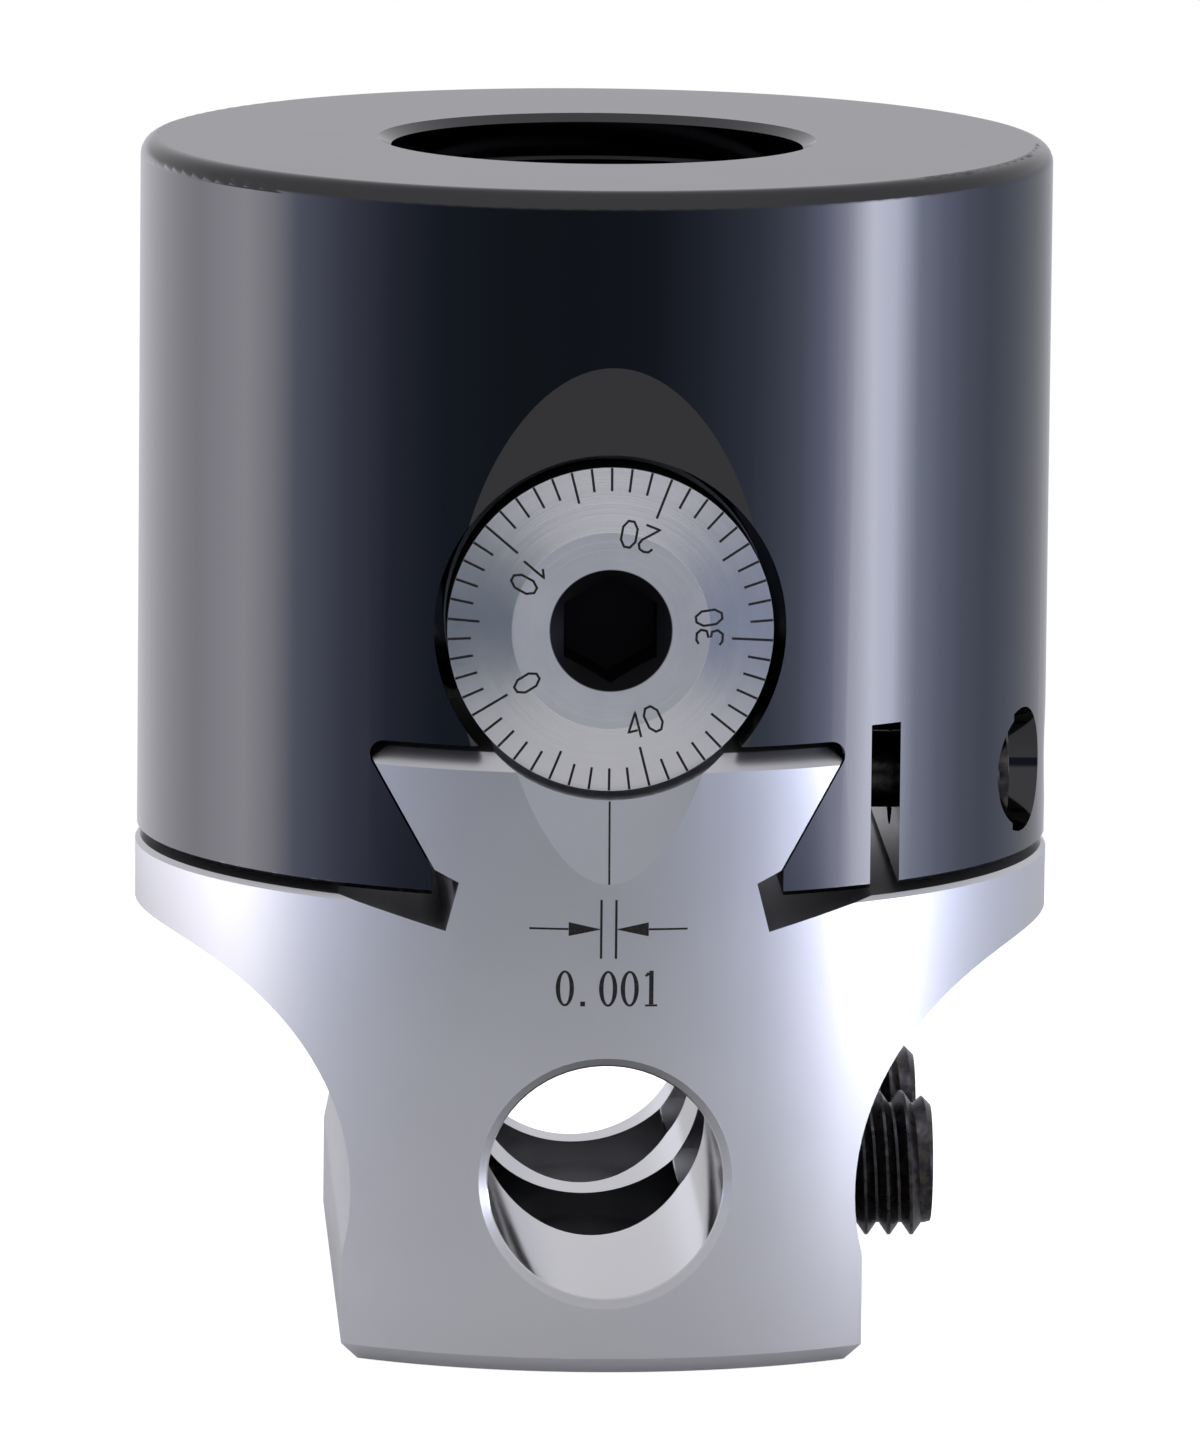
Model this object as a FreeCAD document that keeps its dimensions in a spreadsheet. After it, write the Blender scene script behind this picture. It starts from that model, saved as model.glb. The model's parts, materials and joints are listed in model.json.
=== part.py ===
"""Boring head with a sprung dovetail slide, a graduated lead screw and three bar bores.

Origin: centre of the top face, where the spindle arbor seats. +Z points up out of the threaded mouth,
the dial faces -Y and the set screws are on the +X side. Lengths are in millimetres.
"""
import FreeCAD, Part
import os
import Sketcher

DIMENSIONS = [
    # head body, turned from a bar
    ("body_diameter", 50.0),
    ("body_height", 38.2),
    ("rim_round", 1.0),
    ("edge_break", 0.25),
    # mouth for the arbor: a short plain register above a 7/8-20 thread
    ("mouth_diameter", 24.06),
    ("mouth_depth", 0.42),
    ("register_diameter", 22.6),
    ("register_depth", 2.4),
    ("shank_bore_diameter", 21.0),
    ("shank_floor", 1.85),
    # dovetail slot across the foot of the body
    ("slot_depth", 8.2),
    ("slot_mouth_width", 18.9),
    ("jaw_land", 1.4),
    ("dovetail_angle", 30.0),
    ("slot_round", 0.8),
    # slit that frees a thin leaf of the body to act as the gib
    ("slit_offset", 15.08),
    ("slit_width", 1.64),
    ("slit_height", 8.9),
    # gib screws
    ("gib_screw_height", 4.8),
    ("gib_screw_spacing", 9.5),
    ("gib_screw_diameter", 6.0),
    ("gib_screw_setback", 2.72),
    ("gib_dog_diameter", 4.2),
    ("gib_dog_length", 2.5),
    ("gib_socket_width", 3.0),
    ("gib_socket_depth", 2.6),
    ("gib_recess_diameter", 6.8),
    ("gib_recess_depth", 2.4),
    # lead screw with its dial, neck and driving flange
    ("screw_axis_height", 14.5),
    ("dial_diameter", 17.5),
    ("dial_recess", 0.95),
    ("dial_thickness", 4.05),
    ("dial_hub_diameter", 10.6),
    ("dial_bevel", 0.5),
    ("neck_diameter", 8.6),
    ("neck_length", 2.5),
    ("flange_thickness", 2.5),
    ("lead_diameter", 9.5),
    ("lead_length", 24.0),
    ("lead_point", 0.8),
    ("socket_width", 5.0),
    ("socket_mouth_diameter", 6.6),
    ("socket_depth", 5.2),
    # pocket for the dial in the body
    ("pocket_clearance", 0.7),
    ("scoop_width", 4.85),
    ("scoop_depth", 1.2),
    ("slide_travel", 15.875),
    # pocket for the dial and its flange in the slide
    ("slide_pocket_clearance", 0.35),
    ("slide_scoop_width", 4.5),
    ("slide_scoop_depth", 0.5),
    # slide
    ("slide_oversize", 0.2),
    ("slide_height", 25.43),
    ("top_chamfer", 0.9),
    ("foot_chamfer", 0.9),
    ("dovetail_corner_run", 1.2),
    ("dovetail_corner_drop", 0.62),
    ("relief_offset", 8.7),
    ("relief_depth", 1.46),
    ("relief_wall", 2.75),
    ("relief_angle", 14.5),
    ("block_width", 28.16),
    ("flank_radius", 12.87),
    ("flank_centre_offset", 26.5),
    ("flank_centre_height", 9.21),
    ("flank_round", 2.5),
    # bar bores and their clamp screws
    ("bar_diameter", 12.7),
    ("bar_spacing", 15.875),
    ("cross_bore_height", 10.47),
    ("upright_bore_depth", 24.0),
    ("bore_chamfer", 0.5),
    ("clamp_screw_height", 7.07),
    ("clamp_screw_diameter", 8.0),
    ("clamp_screw_length", 12.0),
    ("clamp_tip_setback", 0.65),
    ("clamp_socket_width", 4.0),
    ("clamp_socket_depth", 4.0),
    # clearances
    ("shoulder_gap", 0.44),
    ("slide_top_gap", 0.4),
    ("flank_gap", 0.12),
    ("thread_clearance", 0.05),
    ("end_clearance", 0.05),
    ("pocket_end_gap", 0.5),
    ("contact_gap", 0.02),
]

# Places that several pieces share, as expressions of the sheet's values.
BODY_RADIUS = "(dims.body_diameter / 2)"
SLIDE_RADIUS = "((dims.body_diameter + dims.slide_oversize) / 2)"
OUTSIDE = "(dims.body_diameter)"
SLOT_CEILING = "(dims.slot_depth - dims.body_height)"
JAW_LEVEL = "(dims.jaw_land - dims.body_height)"
DOVETAIL_SLOPE = "tan(dims.dovetail_angle * 1 deg)"
SLOT_MOUTH = "(dims.slot_mouth_width / 2)"
SLOT_WIDE = f"({SLOT_MOUTH} + ({SLOT_CEILING} - {JAW_LEVEL}) * {DOVETAIL_SLOPE})"
SLIT_INNER = "(dims.slit_offset - dims.slit_width / 2)"
SLIT_OUTER = "(dims.slit_offset + dims.slit_width / 2)"
SCREW_LEVEL = "(dims.screw_axis_height - dims.body_height)"
DIAL_RADIUS = "(dims.dial_diameter / 2)"
POCKET_RADIUS = f"({DIAL_RADIUS} + dims.pocket_clearance)"
SHANK_BOTTOM = f"({SCREW_LEVEL} + {POCKET_RADIUS} + dims.shank_floor)"
GIB_LEVEL = "(dims.gib_screw_height - dims.body_height)"
GIB_OUTER_END = f"({BODY_RADIUS} - dims.gib_screw_setback)"
GIB_LENGTH = f"({GIB_OUTER_END} - {SLIT_INNER} - dims.contact_gap)"
DIAL_FACE = f"(dims.dial_recess - {BODY_RADIUS})"
DIAL_BACK = f"({DIAL_FACE} + dims.dial_thickness)"
FLANGE_FRONT = f"({DIAL_BACK} + dims.neck_length)"
FLANGE_BACK = f"({FLANGE_FRONT} + dims.flange_thickness)"
POCKET_END = f"({FLANGE_BACK} + dims.slide_travel + dims.pocket_end_gap)"
SHOULDER = "(-dims.body_height - dims.shoulder_gap)"
SLIDE_TOP = f"({SLOT_CEILING} - dims.slide_top_gap)"
FOOT = f"({SHOULDER} - dims.slide_height)"
FLANK_START = f"({SLOT_MOUTH} - dims.flank_gap / cos(dims.dovetail_angle * 1 deg))"
BLOCK_SIDE = "(dims.block_width / 2)"
FLANK_LEVEL = f"({FOOT} + dims.flank_centre_height)"
CROSS_LEVEL = f"({FOOT} + dims.cross_bore_height)"
CLAMP_LEVEL = f"({FOOT} + dims.clamp_screw_height)"
BAR_RADIUS = "(dims.bar_diameter / 2)"

# Radius of the ring on which an outline's corners are first set out, before its formulas place them.
FIRST_RING = 10.0

doc = FreeCAD.newDocument("boring_head")


def make_sheet():
    """Put every driving size in one sheet, by name."""
    sheet = doc.addObject("Spreadsheet::Sheet", "dims")
    for row, (name, value) in enumerate(DIMENSIONS, start=1):
        sheet.set(f"A{row}", name)
        sheet.set(f"B{row}", str(value))
        sheet.setAlias(f"B{row}", name)
    doc.recompute()
    return sheet


def size(name):
    """A driving size, as a number."""
    return float(doc.dims.get(name))


def new_piece(name):
    """An empty body whose label is the piece's name."""
    body = doc.addObject("PartDesign::Body", name)
    body.Label = name
    return body


def place(body, rotation, **base):
    """Turn a body and tie its position to the sheet."""
    body.Placement = FreeCAD.Placement(FreeCAD.Vector(), rotation)
    for letter, formula in base.items():
        body.setExpression(f".Placement.Base.{letter}", formula)


def new_sketch(body, name, role, **offset):
    """A sketch on one of the body's own planes, shifted in that plane's axes by formulas."""
    plane = next(p for p in body.Origin.OriginFeatures if p.Role == role)
    sketch = body.newObject("Sketcher::SketchObject", name)
    sketch.AttachmentSupport = [(plane, "")]
    sketch.MapMode = "FlatFace"
    for letter, formula in offset.items():
        sketch.setExpression(f".AttachmentOffset.Base.{letter}", formula)
    return sketch


def pin_point(sketch, geometry, end, across, up):
    """Hold one point of the sketch at two formulas, measured from the sketch's origin."""
    for kind, formula in (("DistanceX", across), ("DistanceY", up)):
        index = sketch.addConstraint(Sketcher.Constraint(kind, -1, 1, geometry, end, 1.0))
        sketch.setExpression(f"Constraints[{index}]", formula)


def outline(sketch, corners):
    """A closed outline of straight sides, each corner held by its two formulas."""
    count = len(corners)
    ring = []
    for k in range(count):
        turn = FreeCAD.Rotation(FreeCAD.Vector(0, 0, 1), 360.0 * k / count)
        ring.append(turn.multVec(FreeCAD.Vector(FIRST_RING, 0, 0)))
    first = sketch.GeometryCount
    for k in range(count):
        sketch.addGeometry(Part.LineSegment(ring[k], ring[(k + 1) % count]), False)
    for k in range(count):
        after = first + (k + 1) % count
        sketch.addConstraint(Sketcher.Constraint("Coincident", first + k, 2, after, 1))
    for k, (across, up) in enumerate(corners):
        pin_point(sketch, first + k, 1, across, up)


def circle(sketch, across, up, diameter):
    """A circle held by its centre and diameter."""
    start = Part.Circle(FreeCAD.Vector(1, 1, 0), FreeCAD.Vector(0, 0, 1), 1.0)
    index = sketch.addGeometry(start, False)
    pin_point(sketch, index, 3, across, up)
    constraint = sketch.addConstraint(Sketcher.Constraint("Diameter", index, 2.0))
    sketch.setExpression(f"Constraints[{constraint}]", diameter)


def hexagon(sketch, width):
    """A hexagon about the sketch's origin, two of its corners on the upright axis, for a key."""
    corner = f"({width} / sqrt(3))"
    flat = f"({width} / 2)"
    corners = [
        ("0", corner),
        (f"-{flat}", f"{corner} / 2"),
        (f"-{flat}", f"-{corner} / 2"),
        ("0", f"-{corner}"),
        (flat, f"-{corner} / 2"),
        (flat, f"{corner} / 2"),
    ]
    outline(sketch, corners)


def settle(body, feature):
    """Make the new feature the body's tip and bring its shape up to date."""
    body.Tip = feature
    doc.recompute()
    return feature


def revolve(body, name, sketch, axis, kind="Revolution"):
    """A full turn of the sketch about one of its own axes, added or cut."""
    feature = body.newObject(f"PartDesign::{kind}", name)
    feature.Profile = sketch
    feature.ReferenceAxis = (sketch, [axis])
    feature.Angle = 360.0
    return settle(body, feature)


def pocket(body, name, sketch, depth=None, both_ways=False, forward=False):
    """A straight cut: through everything, or to a depth formula."""
    feature = body.newObject("PartDesign::Pocket", name)
    feature.Profile = sketch
    feature.Midplane = both_ways
    feature.Reversed = forward
    if depth is None:
        feature.Type = 1
    else:
        feature.Type = 0
        feature.setExpression("Length", depth)
    return settle(body, feature)


def mirror_across(body, name, features, role="YZ_Plane"):
    """The same cuts on the other side of one of the body's planes."""
    plane = next(p for p in body.Origin.OriginFeatures if p.Role == role)
    feature = body.newObject("PartDesign::Mirrored", name)
    feature.Originals = features
    feature.MirrorPlane = (plane, [""])
    return settle(body, feature)


def dress(body, name, kind, property_name, formula, wanted):
    """Chamfer or fillet every edge of the present shape that the test picks."""
    base = body.Tip
    names = [f"Edge{k}" for k, edge in enumerate(base.Shape.Edges, start=1) if wanted(edge)]
    feature = body.newObject(f"PartDesign::{kind}", name)
    feature.Base = (base, names)
    feature.setExpression(property_name, formula)
    return settle(body, feature)


def near(value, target, slack=1e-4):
    return abs(value - target) < slack


def runs_along_y(edge, across, level):
    """Whether an edge runs along Y at this distance either side of the middle and this height."""
    box = edge.BoundBox
    level_ok = near(box.ZMin, level) and near(box.ZMax, level)
    return level_ok and near(box.XLength, 0) and near(abs(box.XMin), across)


# ---------------------------------------------------------------- head body


def head_body():
    """Round body: threaded mouth, dovetail slot, dial pocket with its scoop, gib slit and screw holes."""
    body = new_piece("head_body")

    turned = new_sketch(body, "turned_outline", "XZ_Plane")
    corners = [
        ("0", SHANK_BOTTOM),
        ("dims.shank_bore_diameter / 2", SHANK_BOTTOM),
        ("dims.shank_bore_diameter / 2", "-dims.register_depth"),
        ("dims.register_diameter / 2", "-dims.register_depth"),
        ("dims.register_diameter / 2", "-dims.mouth_depth"),
        ("dims.mouth_diameter / 2", "0"),
        (BODY_RADIUS, "0"),
        (BODY_RADIUS, "dims.edge_break - dims.body_height"),
        (f"{BODY_RADIUS} - dims.edge_break", "-dims.body_height"),
        ("0", "-dims.body_height"),
    ]
    outline(turned, corners)
    revolve(body, "turned_blank", turned, "V_Axis")

    radius = size("body_diameter") / 2

    def top_rim(edge):
        box = edge.BoundBox
        return near(box.ZMin, 0) and near(box.ZMax, 0) and near(box.XMax, radius)

    dress(body, "top_rim_round", "Fillet", "Radius", "dims.rim_round", top_rim)

    slot = new_sketch(body, "slot_outline", "XZ_Plane")
    corners = [
        (SLOT_MOUTH, "-dims.body_height - 1"),
        (SLOT_MOUTH, JAW_LEVEL),
        (SLOT_WIDE, SLOT_CEILING),
        (f"-{SLOT_WIDE}", SLOT_CEILING),
        (f"-{SLOT_MOUTH}", JAW_LEVEL),
        (f"-{SLOT_MOUTH}", "-dims.body_height - 1"),
    ]
    outline(slot, corners)
    pocket(body, "dovetail_slot", slot, both_ways=True)

    ceiling = size("slot_depth") - size("body_height")
    slot_top_edges = [
        edge
        for edge in body.Tip.Shape.Edges
        if near(edge.BoundBox.ZMin, ceiling) and near(edge.BoundBox.ZMax, ceiling)
    ]
    wide = max(edge.BoundBox.XMax for edge in slot_top_edges)
    dress(
        body,
        "slot_corner_round",
        "Fillet",
        "Radius",
        "dims.slot_round",
        lambda edge: runs_along_y(edge, wide, ceiling),
    )

    dial_pocket = new_sketch(body, "dial_pocket_outline", "YZ_Plane", y=SCREW_LEVEL)
    lead_hole = "(dims.lead_diameter / 2 + dims.thread_clearance)"
    flare = "dims.scoop_width * (dims.scoop_depth + 1) / dims.scoop_depth"
    corners = [
        (f"-{BODY_RADIUS} - 1", "0"),
        (f"{BODY_RADIUS} + 1", "0"),
        (f"{BODY_RADIUS} + 1", lead_hole),
        (POCKET_END, lead_hole),
        (POCKET_END, POCKET_RADIUS),
        (f"dims.scoop_depth - {BODY_RADIUS}", POCKET_RADIUS),
        (f"-{BODY_RADIUS} - 1", f"{POCKET_RADIUS} + {flare}"),
    ]
    outline(dial_pocket, corners)
    revolve(body, "dial_pocket", dial_pocket, "H_Axis", kind="Groove")

    slit = new_sketch(body, "slit_outline", "XZ_Plane")
    slit_top = "(dims.slit_height - dims.body_height)"
    corners = [
        (SLIT_INNER, "-dims.body_height - 1"),
        (SLIT_OUTER, "-dims.body_height - 1"),
        (SLIT_OUTER, slit_top),
        (SLIT_INNER, slit_top),
    ]
    outline(slit, corners)
    pocket(body, "gib_slit", slit, both_ways=True)

    tapped = new_sketch(body, "gib_screw_holes", "YZ_Plane", z="dims.slit_offset")
    recess = new_sketch(body, "gib_screw_recesses", "YZ_Plane", z=f"{BODY_RADIUS} - dims.gib_recess_depth")
    hole = "dims.gib_screw_diameter + 2 * dims.thread_clearance"
    for step in (-1, 0, 1):
        along = f"{step} * dims.gib_screw_spacing"
        circle(tapped, along, GIB_LEVEL, hole)
        circle(recess, along, GIB_LEVEL, "dims.gib_recess_diameter")
    pocket(body, "gib_screw_taps", tapped, forward=True)
    pocket(body, "gib_screw_counterbores", recess, forward=True)
    return body


# ---------------------------------------------------------------- tool slide


def tool_slide():
    """Turned slide: male dovetail with undercut roots, hollow flanks, bar bores and screw seats."""
    body = new_piece("tool_slide")

    turned = new_sketch(body, "turned_outline", "XZ_Plane")
    corners = [
        ("0", FOOT),
        (SLIDE_RADIUS, FOOT),
        (SLIDE_RADIUS, f"{SLIDE_TOP} - dims.top_chamfer"),
        (f"{SLIDE_RADIUS} - dims.top_chamfer", SLIDE_TOP),
        ("0", SLIDE_TOP),
    ]
    outline(turned, corners)
    revolve(body, "turned_blank", turned, "V_Axis")

    side = new_sketch(body, "dovetail_side_outline", "XZ_Plane")
    relief_level = f"({SHOULDER} - dims.relief_depth)"
    lean = "(dims.relief_angle * 1 deg)"
    above = f"({SLIDE_TOP} + 1)"
    corner_level = f"({SLIDE_TOP} - dims.dovetail_corner_drop)"
    top_half = f"({FLANK_START} + ({SLIDE_TOP} - {JAW_LEVEL}) * {DOVETAIL_SLOPE})"
    corner_top = f"({top_half} - dims.dovetail_corner_run)"
    corners = [
        (FLANK_START, JAW_LEVEL),
        (
            f"dims.relief_offset - dims.relief_wall * sin({lean})",
            f"{relief_level} + dims.relief_wall * cos({lean})",
        ),
        ("dims.relief_offset", relief_level),
        (f"dims.relief_offset + dims.relief_depth / tan({lean})", SHOULDER),
        (OUTSIDE, SHOULDER),
        (OUTSIDE, above),
        (corner_top, above),
        (corner_top, SLIDE_TOP),
        (f"{FLANK_START} + ({corner_level} - {JAW_LEVEL}) * {DOVETAIL_SLOPE}", corner_level),
    ]
    outline(side, corners)
    dovetail = pocket(body, "dovetail_side", side, both_ways=True)

    hollow = new_sketch(body, "flank_hollow_outline", "XZ_Plane")
    circle(hollow, "dims.flank_centre_offset", FLANK_LEVEL, "2 * dims.flank_radius")
    hollow_cut = pocket(body, "flank_hollow", hollow, both_ways=True)

    block = new_sketch(body, "block_side_outline", "XZ_Plane")
    corners = [
        (BLOCK_SIDE, f"{FOOT} - 1"),
        (OUTSIDE, f"{FOOT} - 1"),
        (OUTSIDE, FLANK_LEVEL),
        (BLOCK_SIDE, FLANK_LEVEL),
    ]
    outline(block, corners)
    block_cut = pocket(body, "block_side", block, both_ways=True)
    mirror_across(body, "other_side", [dovetail, hollow_cut, block_cut])

    block_half = size("block_width") / 2
    shoulder = -size("body_height") - size("shoulder_gap")
    foot = shoulder - size("slide_height")
    middle = foot + size("flank_centre_height")

    def hollow_ends(edge):
        box = edge.BoundBox
        straight = near(box.XLength, 0) and near(box.ZLength, 0)
        return straight and near(abs(box.XMin), block_half) and foot + 1e-3 < box.ZMin < middle

    dress(body, "hollow_end_round", "Fillet", "Radius", "dims.flank_round", hollow_ends)

    def foot_edge(edge):
        return near(edge.BoundBox.ZMin, foot) and near(edge.BoundBox.ZMax, foot)

    dress(body, "foot_edge", "Chamfer", "Size", "dims.foot_chamfer", foot_edge)

    def shoulder_rim(edge):
        box = edge.BoundBox
        flat = near(box.ZMin, shoulder) and near(box.ZMax, shoulder)
        return flat and box.XLength > 1.0 and box.YLength > 1.0

    dress(body, "shoulder_edge", "Chamfer", "Size", "dims.edge_break", shoulder_rim)

    cross = new_sketch(body, "cross_bore_outline", "XZ_Plane")
    circle(cross, "0", CROSS_LEVEL, "dims.bar_diameter")
    pocket(body, "cross_bore", cross, both_ways=True)

    cross_level = foot + size("cross_bore_height")
    bar_radius = size("bar_diameter") / 2

    def cross_mouth(edge):
        box = edge.BoundBox
        as_wide = near(box.XLength, 2 * bar_radius, 0.05) and near(box.ZLength, 2 * bar_radius, 0.05)
        return as_wide and near(box.Center.z, cross_level, 0.05)

    dress(body, "cross_bore_mouths", "Chamfer", "Size", "dims.bore_chamfer", cross_mouth)

    upright = new_sketch(body, "upright_bore_outline", "XY_Plane", z=FOOT)
    circle(upright, "0", "0", "dims.bar_diameter")
    circle(upright, "0", "dims.bar_spacing", "dims.bar_diameter")
    pocket(body, "upright_bores", upright, depth="dims.upright_bore_depth", forward=True)

    def upright_mouth(edge):
        box = edge.BoundBox
        at_foot = near(box.ZMin, foot) and near(box.ZMax, foot)
        return at_foot and near(box.XLength, 2 * bar_radius)

    dress(body, "upright_bore_mouths", "Chamfer", "Size", "dims.bore_chamfer", upright_mouth)

    clamps = new_sketch(body, "clamp_screw_holes", "YZ_Plane")
    hole = "dims.clamp_screw_diameter + 2 * dims.thread_clearance"
    for step in (0, 1):
        circle(clamps, f"{step} * dims.bar_spacing", CLAMP_LEVEL, hole)
    pocket(body, "clamp_screw_taps", clamps, forward=True)

    seat = new_sketch(body, "dial_seat_outline", "YZ_Plane", y=SCREW_LEVEL)
    deep = f"({DIAL_RADIUS} + dims.slide_pocket_clearance)"
    rib = "dims.neck_diameter / 2 + dims.end_clearance"
    flare = "dims.slide_scoop_width * (dims.slide_scoop_depth + 1) / dims.slide_scoop_depth"
    corners = [
        (f"-{SLIDE_RADIUS} - 1", "0"),
        (f"{FLANGE_BACK} + dims.end_clearance", "0"),
        (f"{FLANGE_BACK} + dims.end_clearance", deep),
        (f"{FLANGE_FRONT} - dims.end_clearance", deep),
        (f"{FLANGE_FRONT} - dims.end_clearance", rib),
        (f"{DIAL_BACK} + dims.end_clearance", rib),
        (f"{DIAL_BACK} + dims.end_clearance", deep),
        (f"dims.slide_scoop_depth - {SLIDE_RADIUS}", deep),
        (f"-{SLIDE_RADIUS} - 1", f"{deep} + {flare}"),
    ]
    outline(seat, corners)
    revolve(body, "dial_seat", seat, "H_Axis", kind="Groove")
    return body


# ---------------------------------------------------------------- lead screw with the dial


def dial_screw():
    """Dial, neck, driving flange and lead thread turned in one piece, with a hexagon socket."""
    body = new_piece("dial_screw")
    toward_front = FreeCAD.Rotation(FreeCAD.Vector(1, 0, 0), 90)
    place(body, toward_front, y=DIAL_FACE, z=SCREW_LEVEL)

    turned = new_sketch(body, "turned_outline", "XZ_Plane")
    flange_back = "(dims.dial_thickness + dims.neck_length + dims.flange_thickness)"
    tip = f"({flange_back} + dims.lead_length)"
    countersink = "((dims.socket_mouth_diameter - dims.socket_width) / 2)"
    corners = [
        ("0", f"-{countersink}"),
        ("dims.socket_width / 2", f"-{countersink}"),
        ("dims.socket_mouth_diameter / 2", "0"),
        ("dims.dial_hub_diameter / 2", "0"),
        ("dims.dial_diameter / 2", "-dims.dial_bevel"),
        ("dims.dial_diameter / 2", "-dims.dial_thickness"),
        ("dims.neck_diameter / 2", "-dims.dial_thickness"),
        ("dims.neck_diameter / 2", "-dims.dial_thickness - dims.neck_length"),
        ("dims.dial_diameter / 2", "-dims.dial_thickness - dims.neck_length"),
        ("dims.dial_diameter / 2", f"-{flange_back}"),
        ("dims.lead_diameter / 2", f"-{flange_back}"),
        ("dims.lead_diameter / 2", f"dims.lead_point - {tip}"),
        ("dims.lead_diameter / 2 - dims.lead_point", f"-{tip}"),
        ("0", f"-{tip}"),
    ]
    outline(turned, corners)
    revolve(body, "turned_blank", turned, "V_Axis")

    socket = new_sketch(body, "socket_outline", "XY_Plane")
    hexagon(socket, "dims.socket_width")
    pocket(body, "socket", socket, depth="dims.socket_depth")
    return body


# ---------------------------------------------------------------- set screws


def set_screw(name, prefix, length, dog, **base):
    """Socket set screw lying along X, its socket outward, with a dog point on its inner end if asked."""
    body = new_piece(name)
    outward = FreeCAD.Rotation(FreeCAD.Vector(0, 1, 0), 90)
    place(body, outward, **base)

    radius = f"dims.{prefix}_screw_diameter / 2"
    bevel = "2 * dims.edge_break"
    corners = [
        ("0", "0"),
        (f"{radius} - {bevel}", "0"),
        (radius, f"-{bevel}"),
    ]
    if dog:
        point = f"dims.{prefix}_dog_diameter / 2"
        root = f"(dims.{prefix}_dog_length - {length})"
        corners += [
            (radius, f"{root} + {bevel}"),
            (f"{radius} - {bevel}", root),
            (point, root),
            (point, f"-{length}"),
        ]
    else:
        corners += [
            (radius, f"{bevel} - {length}"),
            (f"{radius} - {bevel}", f"-{length}"),
        ]
    corners.append(("0", f"-{length}"))
    turned = new_sketch(body, "turned_outline", "XZ_Plane")
    outline(turned, corners)
    revolve(body, "turned_blank", turned, "V_Axis")

    socket = new_sketch(body, "socket_outline", "XY_Plane")
    hexagon(socket, f"dims.{prefix}_socket_width")
    pocket(body, "socket", socket, depth=f"dims.{prefix}_socket_depth")
    return body


def gib_screws():
    """Three dog-point screws that press the gib leaf against the slide."""
    pieces = []
    for name, step in (("gib_screw_front", -1), ("slide_lock_screw", 0), ("gib_screw_rear", 1)):
        along = f"{step} * dims.gib_screw_spacing"
        pieces.append(set_screw(name, "gib", GIB_LENGTH, True, x=GIB_OUTER_END, y=along, z=GIB_LEVEL))
    return pieces


def clamp_screws():
    """One flat-point screw for each upright bar bore."""
    length = "dims.clamp_screw_length"
    outer_end = f"{BAR_RADIUS} + dims.clamp_tip_setback + {length}"
    pieces = []
    for name, step in (("clamp_screw_centre", 0), ("clamp_screw_offset", 1)):
        along = f"{step} * dims.bar_spacing"
        pieces.append(set_screw(name, "clamp", length, False, x=outer_end, y=along, z=CLAMP_LEVEL))
    return pieces


def export(pieces):
    """Check the whole document, then write each piece to its own file."""
    doc.recompute()
    for item in doc.Objects:
        bad = [state for state in item.State if state in ("Invalid", "Error")]
        if bad:
            raise RuntimeError(f"{item.Label} failed: {item.State}")
    os.makedirs("parts", exist_ok=True)
    for piece in pieces:
        shape = piece.Shape
        if shape.isNull() or not shape.isValid() or len(shape.Solids) != 1:
            raise RuntimeError(f"{piece.Label} is not one valid solid")
        shape.exportStep(f"parts/{piece.Label}.step")
        box = shape.BoundBox
        extents = f"{box.XLength:.2f} x {box.YLength:.2f} x {box.ZLength:.2f}"
        print(f"{piece.Label}: {shape.Volume:.1f} mm3, {extents} mm")


make_sheet()
export([head_body(), tool_slide(), dial_screw(), *gib_screws(), *clamp_screws()])
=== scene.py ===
"""Looks for the boring head: finishes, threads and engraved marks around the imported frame.

The file follows the head as it is put together: round body, arbor thread, tool slide with its
engraved scale, dial, gib screws, clamp screws, then the studio. Lengths are in metres.
"""
import bmesh
import bpy
import json
import math
from mathutils import Euler, Matrix, Vector


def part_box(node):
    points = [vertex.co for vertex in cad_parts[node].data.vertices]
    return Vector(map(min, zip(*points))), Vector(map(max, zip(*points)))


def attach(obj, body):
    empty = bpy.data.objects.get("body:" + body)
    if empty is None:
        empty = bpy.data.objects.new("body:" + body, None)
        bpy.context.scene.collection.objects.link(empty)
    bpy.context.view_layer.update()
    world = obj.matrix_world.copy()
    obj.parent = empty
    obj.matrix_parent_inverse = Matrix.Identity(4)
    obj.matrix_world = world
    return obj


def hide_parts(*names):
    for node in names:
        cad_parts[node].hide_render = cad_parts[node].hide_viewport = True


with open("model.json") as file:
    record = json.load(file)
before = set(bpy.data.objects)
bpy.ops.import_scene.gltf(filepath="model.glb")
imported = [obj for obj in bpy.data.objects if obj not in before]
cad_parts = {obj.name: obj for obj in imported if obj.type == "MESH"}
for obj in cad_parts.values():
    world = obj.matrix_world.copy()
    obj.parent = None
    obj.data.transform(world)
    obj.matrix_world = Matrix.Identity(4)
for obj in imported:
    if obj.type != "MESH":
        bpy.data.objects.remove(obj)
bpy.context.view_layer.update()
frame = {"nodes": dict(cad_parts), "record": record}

# ---- Round body ---------------------------------------------------------------------------------
# A cylinder turned from a steel bar, polished, hardened and blackened, with a dovetail slot milled
# across its foot. The CAD node is kept and gets a glossy black-oxide finish with faint lathe rings.

MM = 0.001


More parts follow.
